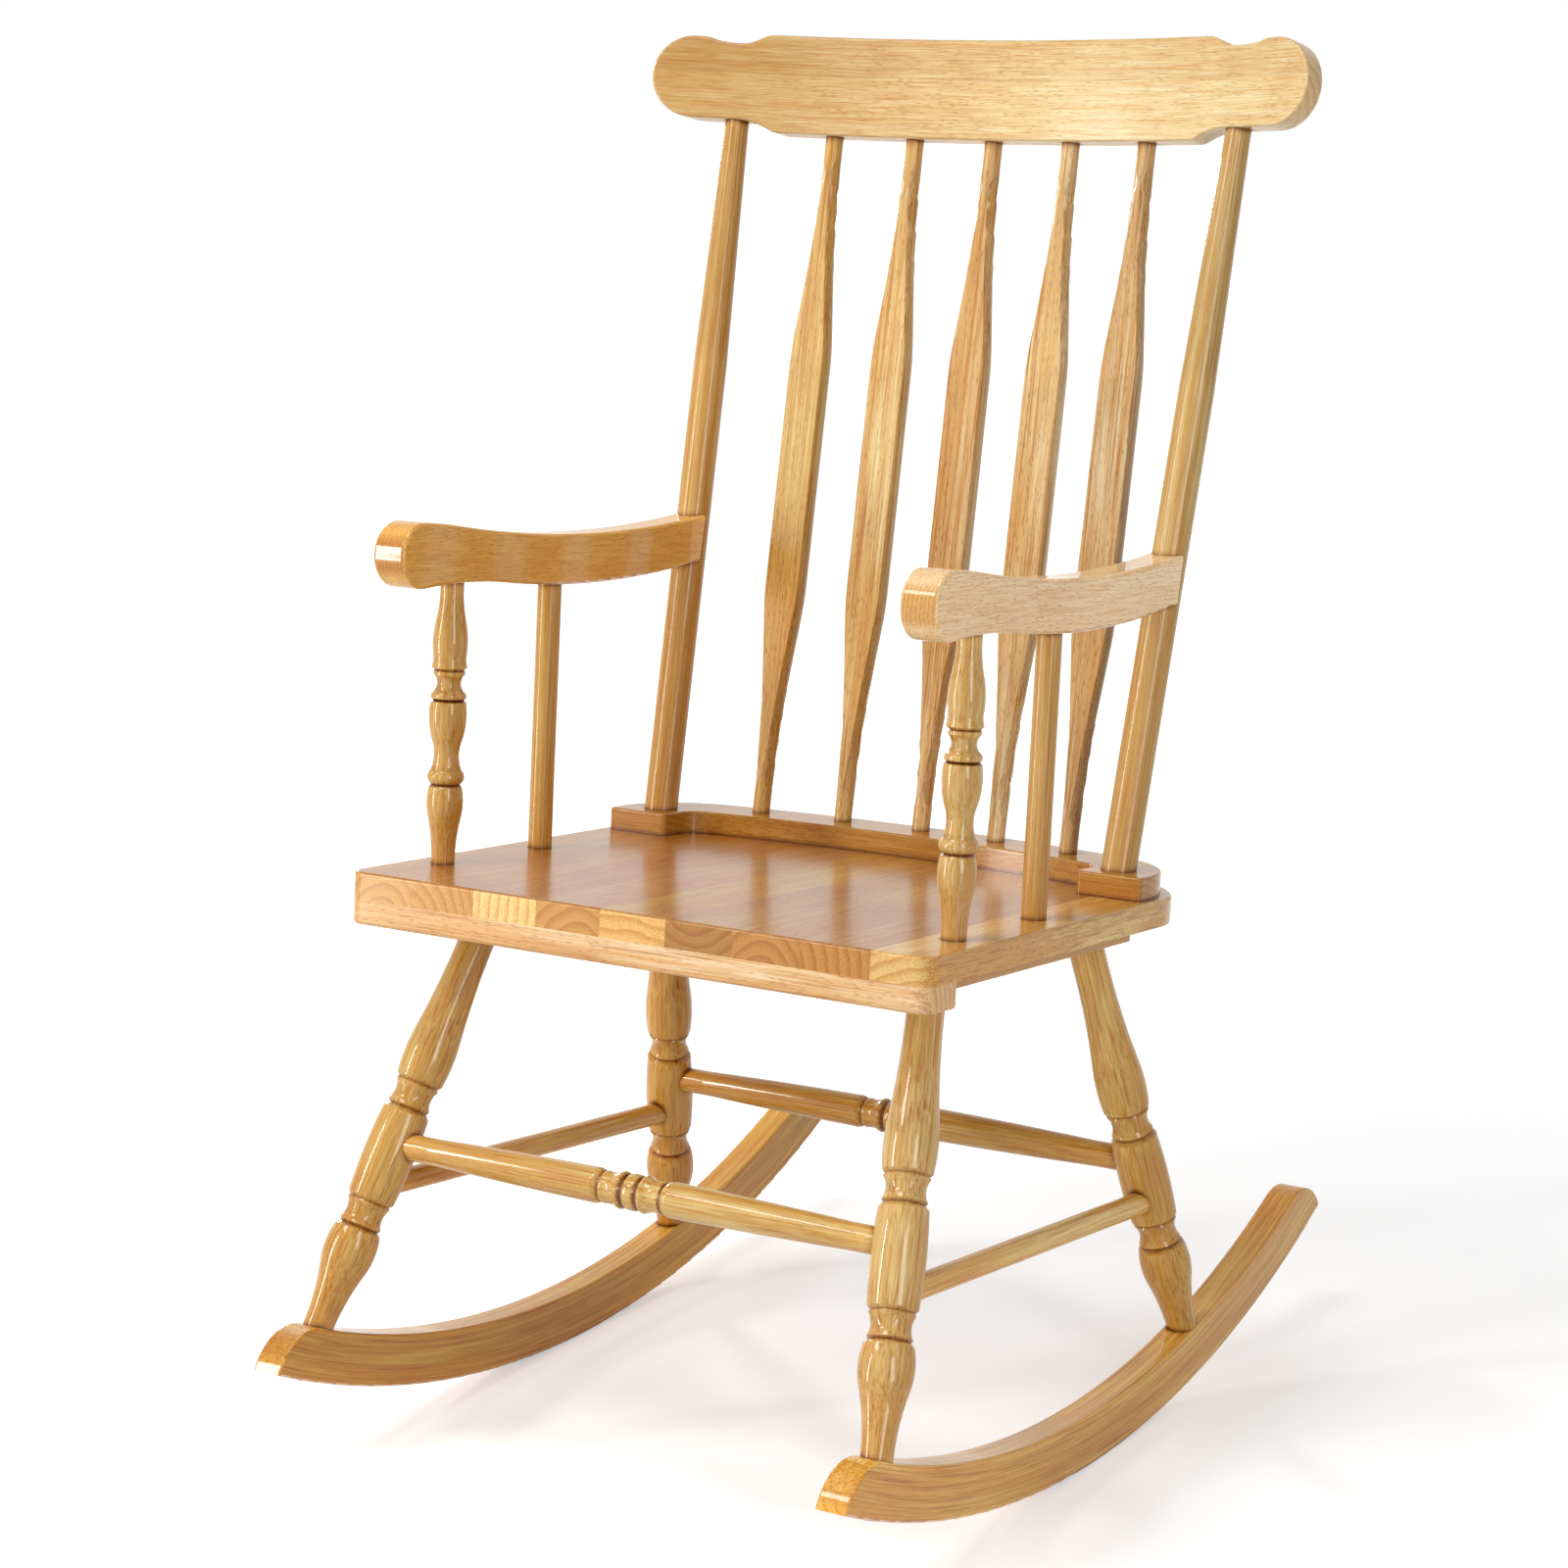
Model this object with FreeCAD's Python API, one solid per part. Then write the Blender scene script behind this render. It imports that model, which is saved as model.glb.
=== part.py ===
import FreeCAD, Part
import math
import os

from FreeCAD import Placement, Rotation, Vector

# Arrow-back rocking chair in light hardwood, in millimetres.
# Origin: on the floor, midway between the two rockers and midway between their ends.
# The chair faces -Y and +Z is up. Right is +X, as seen from the front.
# X = 0 is its plane of symmetry.

# Rockers: two equal arcs of sawn board with rounded noses
ROCKER_RADIUS = 904.0
ROCKER_DEPTH = 41.3
ROCKER_WIDTH = 25.5
ROCKER_HALF_LENGTH = 394.5
ROCKER_INSET = 6.7
ROCKER_EDGE_ROUND = 2.0

# Seat: a panel of edge-glued staves that tips back, on two runners and a front batten
SEAT_WIDTH = 510.0
SEAT_DEPTH = 462.0
SEAT_THICKNESS = 21.0
SEAT_FRONT_HEIGHT = 454.6
SEAT_FRONT_REACH = 274.0
SEAT_TILT = 5.12
SEAT_FRONT_CORNER = 13.0
SEAT_REAR_CORNER = 85.0
SEAT_REAR_BOW = 900.0
SEAT_EDGE_ROUND = 2.5
STAVE_COUNT = 9
STAVE_WIDTH = 57.2
STAVE_SHIFT = 6.7
BATTEN_THICKNESS = 19.5
BATTEN_WIDTH = 38.5
RUNNER_WIDTH = 52.0
RUNNER_INSET = 37.0
RUNNER_REAR_GAP = 77.0
RUNNER_EDGE_ROUND = 1.5
RUNNER_SCREW_INSET = 16.0

# Back rail: a bowed rail on the seat with a square block at each end
RAIL_THICKNESS = 18.5
RAIL_HOUSING = 1.5
RAIL_WIDTH = 55.0
RAIL_REAR_MARGIN = 11.5
RAIL_SIDE_MARGIN = 7.5
RAIL_CORNER = 78.0
RAIL_BLOCK_WIDTH = 56.0
RAIL_BLOCK_REACH = 58.0
RAIL_INNER_ROUND = 20.0
RAIL_BLOCK_ROUND = 4.0
RAIL_EDGE_ROUND = 1.8

# Crest rail: a board bent to a wide curve, with a rounded ear at each end
CREST_BEND = 930.0
CREST_THICKNESS = 26.0
CREST_HEIGHT = 81.3
CREST_HALF_LENGTH = 300.8
CREST_OVERHANG = 16.4
CREST_LIFT = 582.2
CREST_LEAN = 5.4
CREST_EAR_RADIUS = 34.1
CREST_EAR_DROP = 3.6
CREST_END_LENGTH = 102.8
CREST_STEP_LENGTH = 28.0
CREST_UNDER_STEP = 36.0
CREST_DIP = 8.0
CREST_EDGE_ROUND = 2.2

# Back posts and arrow slats
POST_FOOT_INSET = 33.2
POST_FOOT_MARGIN = 96.6
POST_TOP_INSET = 69.0
POST_DIAMETER = 28.0
POST_TOP_DIAMETER = 20.0
POST_TAPER_LENGTH = 205.0
SLAT_COUNT = 5
SLAT_SPACING = 72.5
SLAT_FOOT_MARGIN = 32.3
SLAT_FOOT_BOW = 640.0
SLAT_DIAMETER = 14.8
SLAT_BLADE_WIDTH = 34.5
SLAT_BLADE_THICKNESS = 15.1

# Arms, their turned front posts and their plain spindles
ARM_WIDTH = 30.0
ARM_NOSE_DIAMETER = 50.4
ARM_NOSE_SETBACK = 2.5
ARM_NOSE_WRAP = 6.0
ARM_UNDER_LIFT = 215.9
ARM_FRONT_INSET = 26.3
ARM_POST_GAP = 5.0
ARM_EDGE_ROUND = 3.0
ARM_POST_DEPTH = 81.5
ARM_POST_RADIUS = 14.6
ARM_POST_TENON = 18.4
SPINDLE_DEPTH = 207.0
SPINDLE_DIAMETER = 19.2

# Legs: one turned pattern for all four
LEG_RADIUS = 20.3
LEG_PATTERN = 200.8
LEG_TENON = 24.0
LEG_FRONT_INSET = 57.4
LEG_FRONT_DEPTH = 101.4
LEG_REAR_INSET = 59.6
LEG_REAR_MARGIN = 109.8
LEG_NOSE_MARGIN = 61.8
LEG_REAR_REACH = 152.2
LEG_REAR_TRIM = 5.0

# Stretchers: two turned ones across and two plain ones along the sides
CROSS_RADIUS = 14.0
CROSS_PATTERN = 33.0
FRONT_CROSS_HEIGHT = 239.5
REAR_CROSS_HEIGHT = 198.5
SIDE_DIAMETER = 18.6
SIDE_FRONT_HEIGHT = 208.0
SIDE_REAR_HEIGHT = 165.4

# Joints and fasteners
LEG_SOCKET_DEPTH = 26.0
FOOT_TENON = 13.0
FOOT_TENON_DEPTH = 16.0
POST_SOCKET_DEPTH = 28.0
CREST_SOCKET_DEPTH = 22.0
SLAT_SOCKET_DEPTH = 12.0
ARM_SOCKET_DEPTH = 16.0
SEAT_SOCKET_DEPTH = 14.0
STRETCHER_SOCKET_DEPTH = 14.0
GLUE_GAP = 0.1
SCREW_HEAD_DIAMETER = 8.6
SCREW_HEAD_DEPTH = 4.0
SCREW_DIAMETER = 4.5
LONG_SCREW = 45.0
SHORT_SCREW = 32.0
SCREW_SINK = 1.0
FOOT_SCREW_SINK = 4.0
OVERRUN = 60.0

X_AXIS = Vector(1, 0, 0)
Z_AXIS = Vector(0, 0, 1)
FULL_TURN = 360.0
SIDES = {"right": 1, "left": -1}
SIDEWAYS = Placement(Vector(), Rotation(Z_AXIS, FULL_TURN / 4))

SEAT_FRAME = Placement(Vector(0, -SEAT_FRONT_REACH, SEAT_FRONT_HEIGHT), Rotation(X_AXIS, -SEAT_TILT))
CREST_FOOT = Vector(0, SEAT_DEPTH + CREST_OVERHANG, CREST_LIFT)
CREST_FRAME = SEAT_FRAME.multiply(Placement(CREST_FOOT, Rotation(X_AXIS, -CREST_LEAN)))
CREST_BODY_HALF = CREST_HALF_LENGTH - CREST_END_LENGTH
ROCKER_TOP_RADIUS = ROCKER_RADIUS - ROCKER_DEPTH
ROCKER_HALF_TRACK = SEAT_WIDTH / 2 - ROCKER_INSET
RAIL_HALF_LENGTH = SEAT_WIDTH / 2 - RAIL_SIDE_MARGIN
POST_FOOT_SPREAD = RAIL_HALF_LENGTH - POST_FOOT_INSET
POST_FOOT_DEPTH = SEAT_DEPTH - POST_FOOT_MARGIN
POST_TOP_SPREAD = CREST_HALF_LENGTH - POST_TOP_INSET
SLAT_FOOT_DEPTH = SEAT_DEPTH - SLAT_FOOT_MARGIN
ARM_FRONT_SPREAD = SEAT_WIDTH / 2 - ARM_FRONT_INSET
LEG_FRONT_SPREAD = SEAT_WIDTH / 2 - LEG_FRONT_INSET
LEG_REAR_SPREAD = SEAT_WIDTH / 2 - LEG_REAR_INSET
LEG_REAR_DEPTH = SEAT_DEPTH - LEG_REAR_MARGIN
LEG_FRONT_REACH = ROCKER_HALF_LENGTH - LEG_NOSE_MARGIN
UNDERSIDE = -SEAT_THICKNESS - BATTEN_THICKNESS


def from_seat(x, depth, lift):
    """The floor-frame point that is so far across, behind the seat's front edge and above its top."""
    return SEAT_FRAME.multVec(Vector(x, depth, lift))


def placed(shape, frame):
    """A shape drawn on a frame's own axes, moved to the floor's."""
    shape.Placement = frame.multiply(shape.Placement)
    return shape


def along(start, end):
    """The frame whose origin is at start and whose +Z runs to end."""
    return Placement(start, Rotation(Z_AXIS, end - start))


def towards(start, end, distance):
    """The point at a distance from start on the line to end."""
    step = end - start
    return start + step * (distance / step.Length)


def line(start, end):
    return Part.LineSegment(start, end).toShape()


def arc(start, middle, end):
    return Part.Arc(start, middle, end).toShape()


def run_edge(points):
    """A line through two points, or an arc through three."""
    if len(points) == 2:
        return line(*points)
    return arc(*points)


def closed_face(edges):
    return Part.Face(Part.Wire(edges))


def turned(runs):
    """A turning about +Z, from runs of (height, radius) points that meet at crisp lines."""
    edges = [run_edge([Vector(radius, 0, height) for height, radius in run]) for run in runs]
    low, low_radius = runs[0][0]
    high, high_radius = runs[-1][-1]
    edges.append(line(Vector(high_radius, 0, high), Vector(0, 0, high)))
    edges.append(line(Vector(0, 0, high), Vector(0, 0, low)))
    edges.append(line(Vector(0, 0, low), Vector(low_radius, 0, low)))
    return closed_face(edges).revolve(Vector(), Z_AXIS, FULL_TURN)


def sized(shares, length, radius):
    """A run of shares made into heights and radii."""
    return [(height * length, width * radius) for height, width in shares]


def rod(start, end, diameter):
    """A round rod between two points."""
    return placed(Part.makeCylinder(diameter / 2, (end - start).Length), along(start, end))


def socket(start, end, diameter):
    """The hole for a rod, with room for glue round it."""
    return rod(start, end, diameter + 2 * GLUE_GAP)


def rounded(shape, radius, wanted):
    """A shape with the edges that a test picks rounded over."""
    return shape.makeFillet(radius, [edge for edge in shape.Edges if wanted(edge)])


def upright(edge):
    """Whether an edge stands square to the plan that it was drawn in."""
    return edge.BoundBox.XLength + edge.BoundBox.YLength < GLUE_GAP


def level_at(height):
    """A test for edges that lie in the plane at one height of the drawing frame."""
    return lambda edge: abs(edge.BoundBox.ZMin - height) + abs(edge.BoundBox.ZMax - height) < GLUE_GAP


def cut_all(shape, tools):
    """A shape less every tool that reaches it."""
    for tool in tools:
        if shape.BoundBox.intersect(tool.BoundBox):
            shape = shape.cut(tool)
    return shape


# Rockers

def rocker_point(radius, angle, x):
    """A point of the rocker's side view, by its angle from straight down."""
    return Vector(x, radius * math.sin(angle), ROCKER_RADIUS - radius * math.cos(angle))


def rocker_blank(side):
    """Two concentric arcs closed by a quarter-round nose at each end, sawn from thick board."""
    x = side * ROCKER_HALF_TRACK - ROCKER_WIDTH / 2
    tip = math.asin(ROCKER_HALF_LENGTH / ROCKER_RADIUS)
    nose = ROCKER_DEPTH / ROCKER_RADIUS
    slope = math.sin(math.pi / 4)
    shoulder = tip - nose
    nose_radius = ROCKER_RADIUS - ROCKER_DEPTH * slope
    nose_angle = shoulder + nose * slope
    bottom = [rocker_point(ROCKER_RADIUS, angle, x) for angle in (-tip, 0, tip)]
    top = [rocker_point(ROCKER_TOP_RADIUS, angle, x) for angle in (shoulder, 0, -shoulder)]
    rear_nose = rocker_point(nose_radius, nose_angle, x)
    front_nose = rocker_point(nose_radius, -nose_angle, x)
    edges = [arc(*bottom), arc(bottom[2], rear_nose, top[0]), arc(*top), arc(top[2], front_nose, bottom[0])]
    blank = closed_face(edges).extrude(Vector(ROCKER_WIDTH, 0, 0))
    return rounded(blank, ROCKER_EDGE_ROUND, lambda edge: edge.BoundBox.XLength < GLUE_GAP)


def above_rockers():
    """The round that a leg's foot is scribed to, which holds all above the rockers' top edges."""
    start = Vector(-SEAT_WIDTH, 0, ROCKER_RADIUS)
    return rod(start, Vector(SEAT_WIDTH, 0, ROCKER_RADIUS), 2 * ROCKER_TOP_RADIUS)


# Legs

LEG_FOOT_SHARES = (((0, 0.58), (0.12, 0.658), (0.235, 0.88)), ((0.235, 0.88), (0.31, 1.0), (0.395, 0.905)))
LEG_SPOOL_SHARES = ((0, 0.755), (0.01, 0.828), (0.055, 0.72), (0.095, 0.847), (0.104, 0.8), (0.116, 0.915))
LEG_SPOOL_AT_SHARES = (0.41, 0.896)
LEG_BARREL_SHARES = ((0.7, 0.985), (0.878, 0.91))
LEG_TOP_SHARES = ((1.1, 0.98), (1.2, 0.92), (1.35, 0.775), (1.6, 0.69))
LEG_HEAD_SHARE = 2.5


def leg_spool(start):
    """The groove, waist, fine groove and bead that the leg repeats."""
    points = [(start + height, radius) for height, radius in LEG_SPOOL_SHARES]
    return [points[0:2], points[1:4], points[3:5], points[4:6]]


def leg_turning():
    """The leg's blank about +Z, with its foot at zero and spare length at both ends."""
    lower, upper = [leg_spool(start) for start in LEG_SPOOL_AT_SHARES]
    bulb, neck, taper, head = LEG_TOP_SHARES
    runs = [*LEG_FOOT_SHARES, (LEG_FOOT_SHARES[-1][-1], lower[0][0]), *lower]
    runs += [(lower[-1][-1], *LEG_BARREL_SHARES), (LEG_BARREL_SHARES[-1], upper[0][0]), *upper]
    runs += [(upper[-1][-1], bulb, neck), (neck, taper, head), (head, (LEG_HEAD_SHARE, head[1]))]
    runs = [sized(run, LEG_PATTERN, LEG_RADIUS) for run in runs]
    foot_radius = runs[0][0][1]
    return turned([[(-OVERRUN, foot_radius), (0, foot_radius)], *runs])


def below_seat():
    """The space under the runners, where the legs stand."""
    box = Part.makeBox(2 * SEAT_WIDTH, 2 * SEAT_WIDTH, SEAT_WIDTH)
    box.translate(Vector(-SEAT_WIDTH, -SEAT_WIDTH / 2, UNDERSIDE - SEAT_WIDTH))
    return placed(box, SEAT_FRAME)


class Leg:
    """One leg's axis, from its foot on the rocker's top edge to its head under the runner."""

    def __init__(self, side, spread, depth, reach, trim):
        drop = math.sqrt(ROCKER_TOP_RADIUS ** 2 - reach ** 2)
        self.foot = Vector(side * ROCKER_HALF_TRACK, reach, ROCKER_RADIUS - drop)
        self.head = from_seat(side * spread, depth, UNDERSIDE)
        self.tenon_end = towards(self.head, self.foot, -LEG_SOCKET_DEPTH)
        self.foot_end = towards(self.foot, self.head, -FOOT_TENON_DEPTH)
        self.trim = trim

    def at_height(self, height):
        """The point of the axis at a height above the floor."""
        return self.foot + (self.head - self.foot) * ((height - self.foot.z) / (self.head.z - self.foot.z))

    def body(self):
        """The turning, scribed to the runner and to the rocker, with a tenon at each end."""
        turning = leg_turning()
        turning.translate(Vector(0, 0, -self.trim))
        blank = placed(turning, along(self.foot, self.head)).common(below_seat()).common(above_rockers())
        head = rod(towards(self.head, self.foot, LEG_SOCKET_DEPTH), self.tenon_end, LEG_TENON)
        foot = rod(towards(self.foot, self.head, FOOT_TENON_DEPTH), self.foot_end, FOOT_TENON)
        return blank.fuse([head, foot]).removeSplitter()

    def sockets(self):
        """The holes for both tenons."""
        middle = (self.head + self.foot) * (1 / 2)
        return [socket(middle, self.tenon_end, LEG_TENON), socket(middle, self.foot_end, FOOT_TENON)]


LEGS = {}
for name, sign in SIDES.items():
    LEGS["front", name] = Leg(sign, LEG_FRONT_SPREAD, LEG_FRONT_DEPTH, -LEG_FRONT_REACH, 0)
    LEGS["rear", name] = Leg(sign, LEG_REAR_SPREAD, LEG_REAR_DEPTH, LEG_REAR_REACH, LEG_REAR_TRIM)


# Stretchers

CROSS_END_SHARE = 0.74
CROSS_SWELL_SHARE = (0.45, 0.9)
CROSS_MOTIF_SHARES = (
    ((1.06, 0.96), (0.94, 0.92), (0.86, 0.8)),
    ((0.86, 0.8), (0.82, 0.785)),
    ((0.82, 0.785), (0.79, 0.86)),
    ((0.79, 0.86), (0.74, 0.875), (0.68, 0.855)),
    ((0.68, 0.855), (0.52, 0.862), (0.36, 0.98)),
    ((0.36, 0.98), (0.32, 1.01), (0.28, 0.98)),
    ((0.28, 0.98), (0.22, 0.82)),
    ((0.22, 0.82), (0.17, 0.82)),
    ((0.17, 0.82), (0.12, 0.95)),
    ((0.12, 0.95), (0, 0.985), (-0.12, 0.95)),
)


def stretcher_ends(start, end):
    """The two ends of a stretcher between two leg axes, at the bottoms of their sockets."""
    inset = LEG_RADIUS - STRETCHER_SOCKET_DEPTH
    return towards(start, end, inset), towards(end, start, inset)


def half_cross(half_length):
    """The runs of a turned stretcher from its end to the disc at its middle."""
    end = (half_length, CROSS_END_SHARE * CROSS_RADIUS)
    straight = (half_length - LEG_RADIUS - STRETCHER_SOCKET_DEPTH, end[1])
    swell = (CROSS_SWELL_SHARE[0] * half_length, CROSS_SWELL_SHARE[1] * CROSS_RADIUS)
    motif = [sized(run, CROSS_PATTERN, CROSS_RADIUS) for run in CROSS_MOTIF_SHARES]
    return [[end, straight], [straight, swell, motif[0][0]], *motif]


def cross_stretcher(row, height):
    """A stretcher turned with a disc at its middle, between the two legs of one row."""
    start, end = stretcher_ends(*[LEGS[row, name].at_height(height) for name in ("left", "right")])
    half = half_cross((end - start).Length / 2)
    left = [[(-z, radius) for z, radius in run] for run in half]
    right = [run[::-1] for run in half[-2::-1]]
    body = turned(left + right)
    return placed(body, along((start + end) * (1 / 2), end))


def side_stretcher_ends(name):
    front = LEGS["front", name].at_height(SIDE_FRONT_HEIGHT)
    rear = LEGS["rear", name].at_height(SIDE_REAR_HEIGHT)
    return stretcher_ends(front, rear)


# Seat

def bow_points(half_width, depth, radius):
    """The ends and middle of a rear edge that bows back."""
    rise = radius - math.sqrt(radius ** 2 - half_width ** 2)
    return Vector(half_width, depth - rise, 0), Vector(0, depth, 0), Vector(-half_width, depth - rise, 0)


def seat_panel():
    """The whole seat before it is divided into staves: straight sides and a bowed rear edge."""
    right, middle, left = bow_points(SEAT_WIDTH / 2, SEAT_DEPTH, SEAT_REAR_BOW)
    front_right = Vector(right.x, 0, 0)
    front_left = Vector(left.x, 0, 0)
    edges = [line(front_left, front_right), line(front_right, right), arc(right, middle, left)]
    panel = closed_face([*edges, line(left, front_left)]).extrude(Vector(0, 0, -SEAT_THICKNESS))
    middle_depth = SEAT_DEPTH / 2
    at_front = lambda edge: upright(edge) and edge.CenterOfMass.y < middle_depth
    at_rear = lambda edge: upright(edge) and edge.CenterOfMass.y > right.y - GLUE_GAP
    panel = rounded(rounded(panel, SEAT_FRONT_CORNER, at_front), SEAT_REAR_CORNER, at_rear)
    return rounded(panel, SEAT_EDGE_ROUND, level_at(0)).cut(rail_housing())


def stave_joints():
    """The places across the seat of its two sides and of the glue lines between."""
    inner = STAVE_COUNT - 2
    joints = [STAVE_SHIFT + STAVE_WIDTH * (number - inner / 2) for number in range(inner + 1)]
    return [-SEAT_WIDTH, *joints, SEAT_WIDTH]


def seat_staves():
    """The panel's staves, cut apart at their glue lines."""
    panel = seat_panel()
    joints = stave_joints()
    staves = []
    for start, end in zip(joints, joints[1:]):
        slab = Part.makeBox(end - start, 2 * SEAT_DEPTH, 2 * SEAT_THICKNESS)
        slab.translate(Vector(start, -SEAT_DEPTH / 2, -3 * SEAT_THICKNESS / 2))
        staves.append(placed(panel.common(slab), SEAT_FRAME))
    return staves


def batten():
    """The strip under the seat's front edge, with the same corners."""
    strip = Part.makeBox(SEAT_WIDTH, BATTEN_WIDTH, BATTEN_THICKNESS)
    strip.translate(Vector(-SEAT_WIDTH / 2, 0, UNDERSIDE))
    strip = rounded(strip, SEAT_FRONT_CORNER, lambda edge: upright(edge) and edge.CenterOfMass.y < GLUE_GAP)
    return placed(rounded(strip, SEAT_EDGE_ROUND, level_at(UNDERSIDE)), SEAT_FRAME)


def runner(side):
    """The board under one side of the seat, which the legs are socketed in."""
    length = SEAT_DEPTH - RUNNER_REAR_GAP - BATTEN_WIDTH
    board = Part.makeBox(RUNNER_WIDTH, length, BATTEN_THICKNESS)
    middle = side * (SEAT_WIDTH / 2 - RUNNER_INSET - RUNNER_WIDTH / 2)
    board.translate(Vector(middle - RUNNER_WIDTH / 2, BATTEN_WIDTH, UNDERSIDE))
    return placed(rounded(board, RUNNER_EDGE_ROUND, level_at(UNDERSIDE)), SEAT_FRAME)


# Back rail

def rail_blank():
    """The rail as sawn: two arcs that run into a square block at each end, from its foot to its top."""
    inner_half = RAIL_HALF_LENGTH - RAIL_BLOCK_WIDTH
    rear_depth = SEAT_DEPTH - RAIL_REAR_MARGIN
    inner_depth = rear_depth - RAIL_WIDTH
    block_front = inner_depth - RAIL_BLOCK_REACH
    right, middle, left = bow_points(RAIL_HALF_LENGTH, rear_depth, SEAT_REAR_BOW)
    inner_right, inner_middle, inner_left = bow_points(inner_half, inner_depth, SEAT_REAR_BOW)
    spread = (-RAIL_HALF_LENGTH, -inner_half, inner_half, RAIL_HALF_LENGTH)
    fronts = [Vector(x, block_front, 0) for x in spread]
    edges = [
        line(fronts[0], fronts[1]),
        line(fronts[1], inner_left),
        arc(inner_left, inner_middle, inner_right),
        line(inner_right, fronts[2]),
        line(fronts[2], fronts[3]),
        line(fronts[3], right),
        arc(right, middle, left),
        line(left, fronts[0]),
    ]
    body = closed_face(edges).extrude(Vector(0, 0, RAIL_THICKNESS + RAIL_HOUSING))
    body.translate(Vector(0, 0, -RAIL_HOUSING))
    at_front = lambda edge: upright(edge) and edge.CenterOfMass.y < block_front + GLUE_GAP
    at_inside = lambda edge: upright(edge) and abs(abs(edge.CenterOfMass.x) - inner_half) < GLUE_GAP
    at_rear = lambda edge: upright(edge) and edge.CenterOfMass.y > right.y - GLUE_GAP
    body = rounded(body, RAIL_CORNER, at_rear)
    body = rounded(body, RAIL_INNER_ROUND, lambda edge: at_inside(edge) and not at_front(edge))
    return rounded(body, RAIL_BLOCK_ROUND, at_front)


def rail_housing():
    """The shallow recess in the seat that the rail is let into, with room for glue round it."""
    foot = [face for face in rail_blank().Faces if face.BoundBox.ZMax < GLUE_GAP - RAIL_HOUSING][0]
    return foot.makeOffset2D(GLUE_GAP).extrude(Vector(0, 0, OVERRUN))


def back_rail():
    """The rail with its top edges eased."""
    return placed(rounded(rail_blank(), RAIL_EDGE_ROUND, level_at(RAIL_THICKNESS)), SEAT_FRAME)


# Crest rail

CREST_DIP_SHARES = ((0, 0), (0.3, 0.14), (0.66, 0.72), (1, 1))
CREST_SCOOP_SHARES = ((0.25, 0.97), (0.6, 0.55), (1, 0))
CREST_STEP_SHARES = ((0, 0), (0.42, 0.22), (0.75, 0.72), (1, 1))


def crest_point(x, height, depth):
    """The floor-frame point of the crest at a place across, up and behind its front face."""
    forward = CREST_BEND - math.sqrt(CREST_BEND ** 2 - x ** 2)
    return CREST_FRAME.multVec(Vector(x, depth - forward, height))


def crest_side(side):
    """The edges of one half of the crest's front view, from its top middle to its bottom middle."""
    def at(x, height):
        return Vector(side * x, -CREST_BEND, height)
    ear_x = CREST_HALF_LENGTH - CREST_EAR_RADIUS
    ear_top = CREST_HEIGHT - CREST_EAR_DROP
    ear_bottom = ear_top - 2 * CREST_EAR_RADIUS
    step_end = CREST_BODY_HALF + CREST_STEP_LENGTH
    dip_height = CREST_HEIGHT - CREST_DIP
    dip = [at(CREST_BODY_HALF + x * CREST_STEP_LENGTH, CREST_HEIGHT - y * CREST_DIP)
           for x, y in CREST_DIP_SHARES]
    dip += [at(step_end + x * (ear_x - step_end), ear_top + y * (dip_height - ear_top))
            for x, y in CREST_SCOOP_SHARES]
    step = [at(step_end - x * CREST_UNDER_STEP, ear_bottom * (1 - y)) for x, y in CREST_STEP_SHARES]
    top_curve = Part.BSplineCurve()
    top_curve.interpolate(Points=dip, InitialTangent=Vector(side, 0, 0), FinalTangent=Vector(side, 0, 0))
    step_curve = Part.BSplineCurve()
    step_curve.interpolate(Points=step, InitialTangent=Vector(-side, 0, 0), FinalTangent=Vector(-side, 0, 0))
    return [
        line(at(0, CREST_HEIGHT), dip[0]),
        top_curve.toShape(),
        arc(dip[-1], at(CREST_HALF_LENGTH, ear_top - CREST_EAR_RADIUS), at(ear_x, ear_bottom)),
        line(at(ear_x, ear_bottom), step[0]),
        step_curve.toShape(),
        line(step[-1], at(0, 0)),
    ]


def crest_rail():
    """The front view, cut through a bent board of even thickness, with its edges eased."""
    edges = crest_side(1) + crest_side(-1)[::-1]
    outline = closed_face(edges).extrude(Vector(0, 2 * CREST_BEND, 0))
    low = -CREST_HEIGHT
    outer = Part.makeCylinder(CREST_BEND + CREST_THICKNESS, 3 * CREST_HEIGHT, Vector(0, -CREST_BEND, low))
    inner = Part.makeCylinder(CREST_BEND, 3 * CREST_HEIGHT, Vector(0, -CREST_BEND, low))
    board = outer.cut(inner).common(outline)
    front = [solid for solid in board.Solids if solid.CenterOfMass.y > -CREST_BEND / 2][0]
    across = lambda edge: edge.BoundBox.YLength + edge.BoundBox.XLength > 2 * CREST_EDGE_ROUND
    faces = [face for face in front.Faces if face.Surface.TypeId == "Part::GeomCylinder"
             and abs(face.Surface.Axis.z) > 1 / 2 and face.Surface.Radius > CREST_BEND / 2]
    wanted = [edge for face in faces for edge in face.Edges if across(edge)]
    return placed(front.makeFillet(CREST_EDGE_ROUND, wanted), CREST_FRAME)


# Back posts and slats

def post_foot(side):
    return from_seat(side * POST_FOOT_SPREAD, POST_FOOT_DEPTH, RAIL_THICKNESS)


def post_top(side):
    """Where the post's axis meets the underside of the ear."""
    ear_bottom = CREST_HEIGHT - CREST_EAR_DROP - 2 * CREST_EAR_RADIUS
    return crest_point(side * POST_TOP_SPREAD, ear_bottom, CREST_THICKNESS / 2)


def post_at(side, lift):
    """The point of the post's axis at a height above the seat's plane."""
    frame = SEAT_FRAME.inverse()
    foot = frame.multVec(post_foot(side))
    top = frame.multVec(post_top(side))
    return foot + (top - foot) * ((lift - foot.z) / (top.z - foot.z))


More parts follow.
